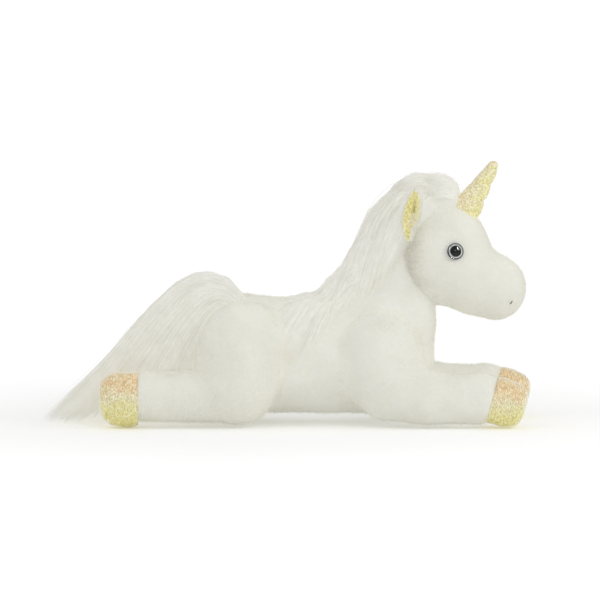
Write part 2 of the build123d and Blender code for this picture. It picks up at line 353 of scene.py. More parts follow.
def tufts(name, skin, count, length, groom, seed, weight=everywhere, lift=0.45, width=0.2, longer=everywhere,
          shade=nowhere):
    """Short pile: closed four-sided spikes that lean along the groom direction, each with its own tone."""
    rng = np.random.default_rng(seed)
    roots, normals = scatter(*skin, count, rng, weight)
    flow = groom(roots) + 0.25 * rng.normal(size=(count, 3))
    flow = unit(flow - normals * np.sum(flow * normals, 1, keepdims=True))
    stray = rng.random((count, 1)) < 0.15
    rise = lift * rng.uniform(0.6, 1.35, (count, 1)) * np.where(stray, 1.7, 1)
    lean = unit(flow * np.cos(rise) + normals * np.sin(rise))
    side = unit(np.cross(normals, lean))
    reach = length * rng.uniform(0.7, 1.2, (count, 1)) * np.where(stray, 1.35, 1) * longer(roots)[:, None]
    base = roots - normals * 0.35
    tip = roots + lean * reach
    points = np.stack([base + side * width, base - side * width, base + flow * width * 1.3, tip], 1)
    first = np.arange(count)[:, None] * 4
    faces = np.concatenate([first + np.array(f) for f in ((0, 1, 3), (1, 2, 3), (2, 0, 3), (0, 2, 1))])
    obj = make(name, points.reshape(-1, 3), faces, PILE, smooth=False)
    # Each tuft's tone is a random tone, less the painted shade that shade gives.
    set_attribute(obj, "tone", np.repeat(1 - 0.45 * rng.random(count) - shade(roots), 4))
    return obj


def strands(name, paths, radii, material, seed, clump=None):
    """Closed three-sided tapered tubes along paths of shape (strand, stop, 3), each clump in its own tone."""
    rng = np.random.default_rng(seed)
    count, stops = paths.shape[:2]
    clump = np.arange(count) if clump is None else clump
    tones = 0.6 * rng.random(clump.max() + 1)[clump] + 0.4 * rng.random(count)
    tangent = unit(np.gradient(paths, axis=1))
    pick = rng.normal(size=(count, 1, 3))
    side = unit(np.cross(tangent, pick))
    over = np.cross(tangent, side)
    taper = np.interp(np.linspace(0, 1, stops), (0, 0.15, 0.75, 1), (0.6, 1, 0.8, 0.1))
    rings = []
    for k in range(3):
        angle = math.tau * k / 3
        offset = side * math.cos(angle) + over * math.sin(angle)
        rings.append(paths + offset * (np.reshape(radii, (-1, 1)) * taper)[..., None])
    points = np.stack(rings, 2).reshape(-1, 3)
    first = (np.arange(count)[:, None] * stops + np.arange(stops - 1)) * 3
    quads = []
    for k in range(3):
        m = (k + 1) % 3
        quads.append(np.stack([first + k, first + m, first + m + 3, first + k + 3], -1).reshape(-1, 4))
    root = np.arange(count)[:, None] * stops * 3
    caps = np.concatenate([root + np.array((2, 1, 0)), root + (stops - 1) * 3 + np.array((0, 1, 2))])
    obj = make(name, points, [np.concatenate(quads), caps], material, smooth=False)
    set_attribute(obj, "tone", np.repeat(tones, stops * 3))
    return obj


def bezier(controls, t):
    """Cubic curves: controls (strand, 4, 3) at stops t give (strand, stop, 3)."""
    t = np.atleast_2d(t)[..., None]
    a, b, c, d = (controls[:, None, i] for i in range(4))
    return a * (1 - t) ** 3 + 3 * b * t * (1 - t) ** 2 + 3 * c * t**2 * (1 - t) + d * t**3


def comb(roots, heading, length, height, field, stops, rng, pull, frizz=0.5):
    """Strands that leave their roots along heading, turn towards pull and lie at height over a field."""
    count = len(roots)
    step = (length / (stops - 1))[:, None]
    path, p, d = [roots], roots.copy(), heading
    sway = rng.normal(size=(count, 3))
    for i in range(stops - 1):
        t = (i + 1) / (stops - 1)
        target = pull(p)
        d = unit(d + (target - d) * min(1.0, 0.25 + 0.9 * t))
        out = gradient(field, p)
        gap = field(p)[:, None] - height[:, None] * (0.25 + 0.75 * math.sin(math.pi * min(1.0, 0.15 + t)))
        d = unit(d - out * np.sum(d * out, 1, keepdims=True) * 0.8)
        sway = 0.6 * sway + 0.8 * rng.normal(size=(count, 3))
        p = p + d * step - out * np.clip(gap, -4, 4) * 0.6 + sway * frizz * 0.3
        path.append(p)
    return np.stack(path, 1)


# Materials
def material(name):
    made = bpy.data.materials.new(name)
    made.use_nodes = True
    nodes = made.node_tree.nodes
    nodes.clear()
    return made, nodes, made.node_tree.links


def feed(links, value, socket):
    """Links an output to a socket, or sets the socket to a value."""
    if isinstance(value, bpy.types.NodeSocket):
        links.new(value, socket)
    else:
        socket.default_value = value


def sums(nodes, links, operation, *values):
    node = nodes.new("ShaderNodeMath")
    node.operation = operation
    for value, socket in zip(values, node.inputs):
        feed(links, value, socket)
    return node.outputs[0]


def mix_colors(nodes, links, share, first, second, mode="MIX"):
    node = nodes.new("ShaderNodeMix")
    node.data_type = "RGBA"
    node.blend_type = mode
    feed(links, share, node.inputs["Factor"])
    feed(links, first, node.inputs[6])
    feed(links, second, node.inputs[7])
    return node.outputs[2]


def mix_shaders(nodes, links, share, first, second):
    node = nodes.new("ShaderNodeMixShader")
    feed(links, share, node.inputs[0])
    links.new(first, node.inputs[1])
    links.new(second, node.inputs[2])
    return node.outputs[0]


def attribute(nodes, name):
    node = nodes.new("ShaderNodeAttribute")
    node.attribute_name = name
    return node.outputs["Fac"]


def layer_weight(nodes, blend):
    node = nodes.new("ShaderNodeLayerWeight")
    node.inputs["Blend"].default_value = blend
    return node


def ray_is(nodes, kind):
    return nodes.new("ShaderNodeLightPath").outputs[f"Is {kind} Ray"]


def noise(nodes, links, scale, detail=3.0):
    """Noise in the row frame; scale is cycles per metre."""
    grain = nodes.new("ShaderNodeTexNoise")
    grain.inputs["Scale"].default_value = scale
    grain.inputs["Detail"].default_value = detail
    links.new(nodes.new("ShaderNodeTexCoord").outputs["Object"], grain.inputs["Vector"])
    return grain.outputs["Fac"]


def ramp(nodes, links, source, *stops):
    node = nodes.new("ShaderNodeValToRGB")
    band = node.color_ramp
    while len(band.elements) < len(stops):
        band.elements.new(0.5)
    for element, (place, color) in zip(band.elements, stops):
        element.position = place
        element.color = (*color, 1)
    links.new(source, node.inputs["Fac"])
    return node.outputs["Color"]


def grey_ramp(nodes, links, source, start, end, top):
    """Zero up to start, rising to top at end."""
    return ramp(nodes, links, source, (start, (0, 0, 0)), (end, (top, top, top)))


def bump(nodes, links, source, strength, distance):
    node = nodes.new("ShaderNodeBump")
    node.inputs["Strength"].default_value = strength
    node.inputs["Distance"].default_value = distance
    links.new(source, node.inputs["Height"])
    return node.outputs["Normal"]


def finish(nodes, links, shader):
    links.new(shader, nodes.new("ShaderNodeOutputMaterial").inputs["Surface"])


# Strength of the painted glow that fill mixes in.
PAINTED_GLOW_STRENGTH = 0.88
# Darkest colour for the tone: random tone, and on the pile painted shade too.
DARK_TONE_AND_SHADE = (0.88, 0.87, 0.845)
PILE_GRAIN = 900


def cloth_material(name, dark, light, patch=45, relief=0.35, fill=0.0, glow=0.0, veil=0.0, streaks=False):
    """Patchy off-white pile or hair. Relief is the depth of its grain; fill is a painted glow, an emission
    that stands in for the light scattered in it. Glow passes light through a strand, veil thins its shadow,
    and streaks shade each strand by its tone."""
    made, nodes, links = material(name)
    color = ramp(nodes, links, noise(nodes, links, patch, 2.0), (0.3, dark), (0.7, light))
    if streaks:
        # On the pile the tone also holds painted shade, which this ramp paints darker.
        tone = ramp(nodes, links, attribute(nodes, "tone"), (0.1, DARK_TONE_AND_SHADE), (0.6, (1, 1, 1)))
        color = mix_colors(nodes, links, 1.0, color, tone, "MULTIPLY")
    surface = nodes.new("ShaderNodeBsdfPrincipled")
    for key, value in (("Roughness", 0.9), ("Sheen Weight", 0.15), ("Sheen Roughness", 0.5),
                       ("Specular IOR Level", 0.1), ("Base Color", color),
                       ("Normal", bump(nodes, links, noise(nodes, links, PILE_GRAIN), relief, 0.0005))):
        feed(links, value, surface.inputs[key])
    shader = surface.outputs[0]
    if glow:
        through = nodes.new("ShaderNodeBsdfTranslucent")
        links.new(color, through.inputs["Color"])
        shader = mix_shaders(nodes, links, glow, shader, through.outputs[0])
    # Painted glow: emission in the cloth's own colour, standing in for light scattered in the pile.
    if fill:
        painted_glow = nodes.new("ShaderNodeEmission")
        links.new(color, painted_glow.inputs["Color"])
        painted_glow.inputs["Strength"].default_value = PAINTED_GLOW_STRENGTH
        shader = mix_shaders(nodes, links, fill, shader, painted_glow.outputs[0])
    if veil:
        share = sums(nodes, links, "MULTIPLY", ray_is(nodes, "Shadow"), veil)
        clear = nodes.new("ShaderNodeBsdfTransparent")
        shader = mix_shaders(nodes, links, share, shader, clear.outputs[0])
    finish(nodes, links, shader)
    return made


STITCHES_PER_METRE = 1250
FOIL_TINTS = ((0.0, (0.88, 0.82, 0.30)), (0.3, (0.92, 0.87, 0.42)), (0.5, (0.90, 0.84, 0.56)),
              (0.72, (0.90, 0.66, 0.36)), (1.0, (0.92, 0.82, 0.56)))
# Painted shade: colour of the ear lining deep in its fold.
FOIL_FOLD_SHADE = (0.42, 0.33, 0.06, 1)
FOIL_GLINT = (1.0, 0.97, 0.80, 1)
FOIL_RIM_HIGHLIGHT = (1, 1, 0.97, 1)


def foil_material(name, across, cool):
    """Pale gold coated knit: yellow turning to peach as the cloth faces up, less so the higher cool is."""
    made, nodes, links = material(name)
    coords = nodes.new("ShaderNodeTexCoord")
    facing = nodes.new("ShaderNodeSeparateXYZ")
    links.new(coords.outputs["Normal"], facing.inputs[0])
    slope = sums(nodes, links, "MULTIPLY_ADD", noise(nodes, links, 95), 1.1, facing.outputs["Z"])
    turned = nodes.new("ShaderNodeMapRange")
    turned.inputs["From Min"].default_value = -0.6
    turned.inputs["From Max"].default_value = cool
    links.new(slope, turned.inputs["Value"])
    color = ramp(nodes, links, turned.outputs[0], *FOIL_TINTS)
    mapping = nodes.new("ShaderNodeMapping")
    mapping.inputs["Scale"].default_value = across
    links.new(coords.outputs["Object"], mapping.inputs["Vector"])
    stitches = nodes.new("ShaderNodeTexVoronoi")
    stitches.inputs["Scale"].default_value = STITCHES_PER_METRE
    links.new(mapping.outputs["Vector"], stitches.inputs["Vector"])
    tone = nodes.new("ShaderNodeSeparateColor")
    links.new(stitches.outputs["Color"], tone.inputs[0])
    dark = ramp(nodes, links, tone.outputs[0], (0.0, (0.72, 0.68, 0.56)), (0.7, (1, 1, 1)))
    # Painted highlight: bright glints on some stitch cells, which also glow below.
    glint = grey_ramp(nodes, links, tone.outputs[1], 0.74, 0.92, 0.7)
    # Painted highlight: the foil turns near white towards its outline, as under a rim light.
    edge = grey_ramp(nodes, links, layer_weight(nodes, 0.5).outputs["Facing"], 0.55, 1.0, 0.75)
    # Painted shade: the lining turns dark gold where the fold attribute marks its fold.
    color = mix_colors(nodes, links, attribute(nodes, "fold"), color, FOIL_FOLD_SHADE)
    color = mix_colors(nodes, links, 1.0, color, dark, "MULTIPLY")
    color = mix_colors(nodes, links, glint, color, FOIL_GLINT)
    color = mix_colors(nodes, links, edge, color, FOIL_RIM_HIGHLIGHT)
    surface = nodes.new("ShaderNodeBsdfPrincipled")
    surface.inputs["Roughness"].default_value = 0.38
    links.new(color, surface.inputs["Base Color"])
    # Painted glow: the foil emits its own colour a little everywhere and more at the glints.
    links.new(color, surface.inputs["Emission Color"])
    links.new(sums(nodes, links, "MULTIPLY_ADD", glint, 0.22, 0.1), surface.inputs["Emission Strength"])
    links.new(bump(nodes, links, stitches.outputs["Distance"], 0.5, 0.0006), surface.inputs["Normal"])
    finish(nodes, links, surface.outputs[0])
    return made


def plain_material(name, dark, light, roughness, scale, gloss=0.5):
    """Mottled between two colours; scale is cycles per metre."""
    made, nodes, links = material(name)
    grain = noise(nodes, links, scale)
    surface = nodes.new("ShaderNodeBsdfPrincipled")
    surface.inputs["Roughness"].default_value = roughness
    surface.inputs["Specular IOR Level"].default_value = gloss
    links.new(ramp(nodes, links, grain, (0.35, dark), (0.65, light)), surface.inputs["Base Color"])
    links.new(bump(nodes, links, grain, 0.2, 0.0002), surface.inputs["Normal"])
    finish(nodes, links, surface.outputs[0])
    return made


def lens_material():
    """Clear acrylic that lets the light through to the iris and keeps its own highlight."""
    made, nodes, links = material("eye_clear")
    clear = nodes.new("ShaderNodeBsdfTransparent")
    gloss = nodes.new("ShaderNodeBsdfGlossy")
    gloss.inputs["Roughness"].default_value = 0.04
    edge = layer_weight(nodes, 0.3)
    links.new(bump(nodes, links, noise(nodes, links, 60, 0.0), 0.02, 0.0002), edge.inputs["Normal"])
    share = sums(nodes, links, "MULTIPLY", edge.outputs["Fresnel"], ray_is(nodes, "Camera"))
    finish(nodes, links, mix_shaders(nodes, links, share, clear.outputs[0], gloss.outputs[0]))
    return made


# The fill shares below give each cloth a painted glow, standing in for light scattered in pile and hair.
PLUSH = cloth_material("plush", (0.90, 0.895, 0.835), (0.94, 0.935, 0.88), fill=0.1)
PILE = cloth_material("pile", (0.93, 0.925, 0.87), (0.96, 0.955, 0.91), fill=0.1, glow=0.5, veil=0.8,
                      streaks=True)
HAIR = cloth_material("hair", (0.94, 0.935, 0.88), (0.98, 0.975, 0.935), patch=160, relief=0.1, fill=0.25,
                      veil=0.9, streaks=True)
CORE = cloth_material("hair_core", (0.88, 0.875, 0.81), (0.92, 0.915, 0.86), patch=200, fill=0.22)
HOOF_FOIL = foil_material("hoof_foil", (1.7, 0.8, 0.8), 1.8)
EAR_FOIL = foil_material("ear_foil", (1.3, 1.3, 0.9), 2.6)
HORN_FOIL = foil_material("horn_foil", (1.2, 1.2, 1.0), 2.5)
STITCH = plain_material("dark_thread", (0.07, 0.06, 0.055), (0.14, 0.12, 0.10), 0.7, 2500)


# Torso and neck
def torso_field(p):
    barrel = chain(p, [(RUMP, 47.6), (vec(20, 0, 46.5), 42.6), (CHEST, 44.5)], 14)
    neck = cone(p, NECK + vec(-6, 0, -7), HEAD + vec(-23, 0, -7), 33, 22)
    body = join(join(barrel, neck, 16), ball(p, NECK + vec(5, 0, -2), 28), 12)
    return keep(body, 0.8 - p[:, 2], 26)


def body_groom(p):
    flow = np.tile(vec(-0.75, 0, -0.65), (len(p), 1))
    up_neck = np.clip((p - NECK) @ NECK_AXIS / 30, 0, 1)[:, None]
    return flow * (1 - up_neck) + up_neck * vec(-0.35, 0, -0.95)


def above_floor(p):
    """Little pile where the toy lies on the floor."""
    return np.where(p[:, 2] < 2.0, 0.15, 1.0)


FAR = 99.0


def bend(obj):
    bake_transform(obj)


def dress_torso():
    low, high = vec(-74, -54, -4), vec(114, 54, 158)

    def seams(p):
        return np.where(p[:, 2] > 60, np.abs(p[:, 1]), FAR)

    points, quads = soft_skin(torso_field, low, high, seams)
    points = points + point_normals(points, quads) * ripple(points, 34, 11)[:, None] * 0.5
    points[:, 2] = np.maximum(points[:, 2], 0.4)
    skin = make("torso_skin", points, quads, PLUSH)
    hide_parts("torso_cover", "torso_stuffing", "pellet_pouch", "pellet_fill", "closing_stitches")
    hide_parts("neck_cover", "neck_stuffing")
    pile = tufts("torso_pile", (points, quads), 46000, 2.6, body_groom, 21, above_floor)
    for piece in (skin, pile):
        bend(piece)


# Head
def head_field(p):
    field = chain(p, [(CROWN, 28.4), (HEAD, 31.0), (MUZZLE + vec(-1.7, 0, 0.3), 21.0)], 8)
    forehead, nose = (HEAD + vec(5.5, 0, 9), 25.6), (MUZZLE + vec(-0.8, 0, 7.2), 19.3)
    cheek, jaw = (HEAD + vec(-8, 0, -6), 24.6), (HEAD + vec(21, 0, -18), 21)
    for centre, radius in (forehead, nose, cheek, jaw):
        field = join(field, ball(p, centre, radius), 9)
    for side in (1, -1):
        socket = np.linalg.norm(p - (EYE - EYE_AXIS * 1.0) * vec(1, side, 1), axis=1)
        field = field + 2.4 * np.exp(-((socket / 9.0) ** 2))
    return field


def head_groom(p):
    along = unit(HEAD - MUZZLE)
    return np.tile(along + vec(0, 0, -0.35), (len(p), 1))


def off_eyes(p):
    near = np.minimum(*(np.linalg.norm(p - EYE * vec(1, side, 1), axis=1) for side in (1, -1)))
    return np.where(near < 7.8, 0.0, 1.0)


def cheek_fringe(p):
    """Longer pile where the head stands over the neck."""
    return 1 + 1.5 * np.clip((HEAD[0] - 8 - p[:, 0]) / 18, 0, 1)


def cheek_shade(p):
    """Painted shade that darkens the pile towards the back of the cheek, where the long pile stands open."""
    return 0.6 * np.clip((HEAD[0] - 9 - p[:, 0]) / 14, 0, 1)


def dress_head():
    low, high = vec(74, -36, 68), vec(176, 36, 166)

    def seams(p):
        return np.where(p[:, 0] > 118, np.abs(p[:, 1]), FAR)

    points, quads = soft_skin(head_field, low, high, seams, cap=2.0)
    skin = make("head_skin", points, quads, PLUSH)
    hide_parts("head_cover", "head_stuffing", "eye_washer_left", "eye_washer_right")
    pile = tufts("head_pile", (points, quads), 40000, 2.0, head_groom, 22, off_eyes, lift=0.42, width=0.18,
                 longer=cheek_fringe, shade=cheek_shade)
    for piece in (skin, pile):
        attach(piece, "head")


def dress_nostril(name, side):
    """Three arched stitches on the muzzle."""
    centre = vec(MUZZLE[0] + 8.5, side * 14, MUZZLE[2] - 5.5)
    for _ in range(8):
        out = gradient(head_field, centre[None])[0]
        centre = centre - Y * head_field(centre[None])[0] / out[1]
    along = vec(0.5, 0, 0.87)
    along = unit(along - out * (along @ out))
    across = np.cross(out, along)
    t = np.linspace(-1, 1, 9)
    paths = []
    for k in range(3):
        arch = centre + out * (0.8 * np.sqrt(np.clip(1 - t**2, 0, 1)))[:, None]
        paths.append(arch + along * ((1.7 - 0.3 * k) * t)[:, None] + across * (k - 1) * 0.28)
    piece = strands(f"nostril_thread_{name}", np.array(paths), np.full(3, 0.2), STITCH, 5)
    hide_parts(f"nostril_stitch_{name}")
    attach(piece, "head")


# Legs
def foreleg_field(p, end):
    """Upper arm and forearm to the hoof's seam at end, with a flap over the torso."""
    elbow = vec(SHOULDER[0] + 22, SHOULDER[1], 21)
    leg = chain(p, [(SHOULDER + vec(-6, -1, -11), 21.5), (elbow, 20.3), (end - X * 8, 19.0), (end, 16.4)], 6)
    upper = ellipsoid(p, SHOULDER + vec(-9, -4, 10), vec(29, 22, 34))
    leg = join(leg, upper, 10)
    whole = join(leg, torso_field(p) + 2.2, 13)
    whole = keep(whole, leg - 12, 3)
    whole = keep(whole, (p - end) @ FORE_AXIS + 0.2, 3.2)
    return keep(whole, 0.8 - p[:, 2], 5)


def hindleg_field(p):
    """Haunch and shank to the hoof's seam, with a flap over the torso."""
    haunch = ellipsoid(p, vec(HIP[0] + 0.5, 37, 45.5), vec(32.5, 26, 45.5))
    haunch = join(haunch, ball(p, vec(HIP[0] - 5, 38, 28), 24.5), 8)
    shank = cone(p, vec(-56, HIP[1] - 2, HIND_SEAM[2] + 0.5), HIND_SEAM, 21.0, 18.8)
    leg = join(haunch, shank, 2.0)
    top = np.clip((p[:, 2] - 50) / 35, 0, 1)
    whole = join(leg, torso_field(p) + 2.0, 5 + 19 * top)
    whole = keep(whole, leg - 12, 3)
    whole = keep(whole, (p - HIND_SEAM) @ HIND_AXIS + 0.2, 2.5)
    return keep(whole, 0.8 - p[:, 2], 5)


def foreleg_groom(p):
    return np.tile(vec(0.6, 0, -0.5), (len(p), 1))


def hindleg_groom(p):
    return np.tile(vec(-0.6, 0, -0.7), (len(p), 1))


def dress_legs():
    fore = {}
    for name, reach in FORE_REACH.items():
        end = FORE_SEAM + X * reach
        fore[name] = soft_skin(lambda p: foreleg_field(p, end), vec(24, 6, -4), vec(end[0] + 4, 66, 96),
                               lambda p: np.abs((p - end) @ FORE_AXIS), cap=2.5)
    hind = soft_skin(hindleg_field, vec(HIND_SEAM[0] - 3, 6, -4), vec(8, 68, 106),
                     lambda p: np.abs((p - HIND_SEAM) @ HIND_AXIS), step=3.2, cap=2.5)
    for skin in (*fore.values(), hind):
        skin[0][:, 2] = np.maximum(skin[0][:, 2], 0.4)
    for name, side in SIDES:
        legs = (("fore", fore[name], foreleg_groom, 24000), ("hind", hind, hindleg_groom, 34000))
        for kind, skin, groom, count in legs:
            points, quads = skin if side > 0 else mirrored(*skin)
            cover = make(f"{kind}leg_skin_{name}", points, quads, PLUSH)
            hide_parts(f"{kind}leg_cover_{name}", f"{kind}leg_stuffing_{name}")
            pile = tufts(f"{kind}leg_pile_{name}", (points, quads), count, 2.5, groom, 30 + side, above_floor)
            for piece in (cover, pile):
                if kind == "fore":
                    bend(piece)
                else:
                    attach(piece, f"hindleg_{name}")


# Hooves
def lathe(profile, rings, start, axis, relief=None):
    """Turned skin: profile (length, radius) stops about an axis, closed at both ends."""
    side = unit(np.cross(axis, Y))
    over = np.cross(axis, side)
    angle = np.linspace(0, math.tau, rings, endpoint=False)
    points = []
    for length, radius in profile:
        radius = np.full(rings, radius) if relief is None else radius + relief(length, angle, radius)
        ring = side * np.cos(angle)[:, None] + over * np.sin(angle)[:, None]
        points.append(start + axis * length + ring * radius[:, None])
    points = np.concatenate(points)
    stops = len(profile)
    first = np.arange(stops - 1)[:, None] * rings
    k = np.arange(rings)
    m = (k + 1) % rings
    quads = np.stack([first + k, first + m, first + m + rings, first + k + rings], -1).reshape(-1, 4)
    ends = np.array([start + axis * profile[0][0], start + axis * profile[-1][0]])
    points = np.concatenate([points, ends])
    last = (stops - 1) * rings
    low = np.stack([m, k, np.full(rings, len(points) - 2)], -1)
    high = np.stack([last + k, last + m, np.full(rings, len(points) - 1)], -1)
    return points, [quads, np.concatenate([low, high])]


def hoof_profile(long, wide):
    """Length along the hoof and radius, scaled: tucked seam, rounded wall, toe seam and padded sole."""
    length = np.concatenate([np.linspace(-2.5, 20, 46), np.linspace(20.3, 25.2, 26)])
    wall = 17.9 * np.clip(1 - np.clip(length / 25.8, 0, 1) ** 4.2, 0, 1) ** 0.4
    tuck = 0.9 * np.clip(-length / 2.5, 0, 1)
    toe_seam = 0.7 * np.exp(-(((length - 19.2) / 0.7) ** 2))
    return list(zip(length * long, (wall - tuck - toe_seam) * wide))


def dress_hooves():
    def crinkle(length, angle, radius):
        ribs = 0.24 * np.sin(length * 4.2 + 1.6 * np.sin(3 * angle) + 0.9 * np.sin(7 * angle + 0.4 * length))
        dents = 0.35 * np.sin(2 * angle + 0.3 * length) * np.sin(0.25 * length + angle)
        return (ribs + dents) * min(1.0, radius / 12)

    for kind, seam, axis, size, rest in (
        ("fore", FORE_SEAM, FORE_AXIS, (0.9, 0.96), 1.6),
        ("hind", HIND_SEAM, HIND_AXIS, (1.0, 1.0), 0.3),
    ):
        points, faces = lathe(hoof_profile(*size), 120, seam, axis, crinkle)
        lowest, centre = points[:, 2].min(), seam[2]
        below = np.clip((centre - points[:, 2]) / (centre - lowest), 0, 1)
        points[:, 2] = np.maximum(points[:, 2] - max(0.0, lowest - rest) * below**2, rest)
        for name, side in SIDES:
            p, f = (points, faces) if side > 0 else mirrored(points, faces)
            if kind == "fore":
                p = p + X * FORE_REACH[name]
            piece = make(f"{kind}_hoof_{name}", p, f, HOOF_FOIL)
            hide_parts(*(f"{kind}_hoof_{part}_{name}" for part in ("cap", "sole", "pellets")))
            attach(piece, f"{kind}leg_{name}")


# Horn
def dress_horn():
    axis, length, turns = unit(vec(0.53, 0, 0.85)), 45.7, 3.6

    def relief(along, angle, radius):
        """Lobes puffed between the turns of the thread, strongest at the front."""
        phase = (along / length * turns - angle / math.tau + 0.35) % 1.0
        valley = np.exp(-((np.minimum(phase, 1 - phase) / 0.12) ** 2))
        fade = min(1.0, max(0.0, (along - 1) / 3)) * min(1.0, (length - along) / 3)
        strength = 0.6 - 0.4 * np.cos(angle)
        puffed = (0.6 * np.sin(math.pi * phase) - 0.95 * valley) * strength
        fine = 0.09 * np.sin(9 * angle + along * 2.1) + 0.07 * np.sin(17 * angle - along * 3.3)
        return fade * (puffed * (0.45 + radius / 15) + fine)

    t = np.linspace(0, 1, 130)
    stops, radii = (0, 0.06, 0.12, 0.55, 0.85, 0.94, 0.98, 1), (10.2, 10.8, 10.6, 6.9, 4.5, 3.6, 2.5, 0.8)
    radius = np.interp(t, stops, radii)
    points, faces = lathe(list(zip(t * length - 3, radius)), 96, HORN + vec(-1.6, 0, 1), axis, relief)
    piece = make("horn_skin", points, faces, HORN_FOIL)
    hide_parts("horn_cover", "horn_stuffing", "horn_thread")
    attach(piece, "horn")


# Ears
def slab(front, back):
    """Closed sheet between two layers of points (across, along, 3)."""
    across, along = front.shape[:2]
    layer = across * along
    points = np.concatenate([front.reshape(-1, 3), back.reshape(-1, 3)])
    i = np.arange(layer).reshape(across, along)
    j = i + layer
    near = np.stack([i[:-1, :-1], i[1:, :-1], i[1:, 1:], i[:-1, 1:]], -1).reshape(-1, 4)
    far = np.stack([j[:-1, :-1], j[:-1, 1:], j[1:, 1:], j[1:, :-1]], -1).reshape(-1, 4)
    loop = np.concatenate([i[:-1, 0], i[-1, :-1], i[:0:-1, -1], i[0, :0:-1]])
    after = np.roll(loop, -1)
    edge = np.stack([after, loop, loop + layer, after + layer], -1)
    return points, np.concatenate([near, far, edge])


def dress_ears():
    """A folded leaf: plush behind, gold lining in front, the fold a little forward of the middle."""
    across, along = 40, 60
    u, v = np.meshgrid(np.linspace(-1, 1, across), np.linspace(0, 1, along), indexing="ij")
    rise = unit(vec(0.10, 0.20, 0.97))
    facing = vec(-0.28, 0.95, 0)
    face = unit(facing - rise * (facing @ rise))
    wide = np.cross(rise, face)
    if wide[0] < 0:
        wide = -wide
    behind = 7.6 * np.sin(math.pi * v**0.85) ** 0.8 + 0.25
    ahead = 6.2 * np.clip(1 - np.abs(2 * np.clip((v - 0.3) / 0.7, 0, 1) - 1) ** 2.6, 0, 1) ** 0.6 + 0.25
    reach = u * np.where(u < 0, behind, ahead) * (1 - 0.22 * np.abs(u) ** 3)
    depth = 9.0 * np.sin(math.pi * v**0.9) ** 0.8 * (1 - np.abs(u) ** 0.75)
    spine = EAR - rise * 3 + face * 2.0 + rise * (v * 38)[..., None]
    inner = spine + wide * reach[..., None] - face * depth[..., None]
    out = unit(np.cross(np.gradient(inner, axis=0), np.gradient(inner, axis=1)))
    if np.mean(out @ face) < 0:
        out = -out
    rim = (np.abs(u) ** 6)[..., None]
    crinkle = ripple(inner.reshape(-1, 3), 3.2, 71).reshape(across, along, 1) * 0.22
    lining = slab(inner + out * (0.5 + crinkle) * (1 - 0.3 * rim), inner - out * 0.2)
    shell = slab(inner - out * 0.25, inner - out * (1.8 - 1.4 * rim))
    # Painted shade in the fold of the lining, stored below as the fold attribute.
    painted_fold_shade = 0.6 * np.exp(-((u / 0.2) ** 2)) * np.clip(v * 4, 0, 1) * np.clip((1 - v) * 6, 0, 1)
    layer, layer_quads = across * along, (across - 1) * (along - 1)
    flip = np.mean(np.sum(point_normals(*lining)[:layer] * out.reshape(-1, 3), 1)) < 0

    def add_sheet(part, sheet, finish, name, side):
        points, quads = sheet
        quads = quads[:, ::-1] if flip else quads
        if side < 0:
            points, quads = mirrored(points, quads)
        piece = make(f"ear_{part}_skin_{name}", points, quads, finish)
        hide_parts(f"ear_{part}_{name}")
        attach(piece, f"ear_{name}")
        return piece, points, quads

    def upwards(p):
        return np.tile(Z, (len(p), 1))

    for name, side in SIDES:
        piece, _, _ = add_sheet("lining", lining, EAR_FOIL, name, side)
        set_attribute(piece, "fold", np.tile(painted_fold_shade.ravel(), 2))
        _, points, quads = add_sheet("shell", shell, PLUSH, name, side)
        outer = points[layer:], quads[layer_quads : 2 * layer_quads] - layer
        pile = tufts(f"ear_pile_{name}", outer, 7000, 1.5, upwards, 45, width=0.28)
        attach(pile, f"ear_{name}")


# Mane, poll and forelock
def ridge_field(p):
    """Opaque core of the mane behind the neck, narrower than it is deep."""
    stops = ((92, 148, 24), (81, 139, 22), (67.5, 121, 19), (48, 98, 13.8), (35, 88, 10.5), (20, 77, 7))
    return chain(p * vec(1, 1.25, 1), [(vec(x, 0, z), radius) for x, z, radius in stops], 10)


def mane_ground(p):
    return join(ridge_field(p), torso_field(p) + 0.6, 8)


CREST = vec((96, 0, 173), (82, 0, 163), (67, 0, 147), (53, 0, 126), (40, 0, 108), (26, 0, 95), (16, 0, 87))


def on_crest(s):
    """Points along the line the mane grows from: s is 0 at the poll and 1 at the withers."""
    stops = np.linspace(0, 1, len(CREST))
    return np.stack([np.interp(s, stops, CREST[:, i]) for i in range(3)], -1)


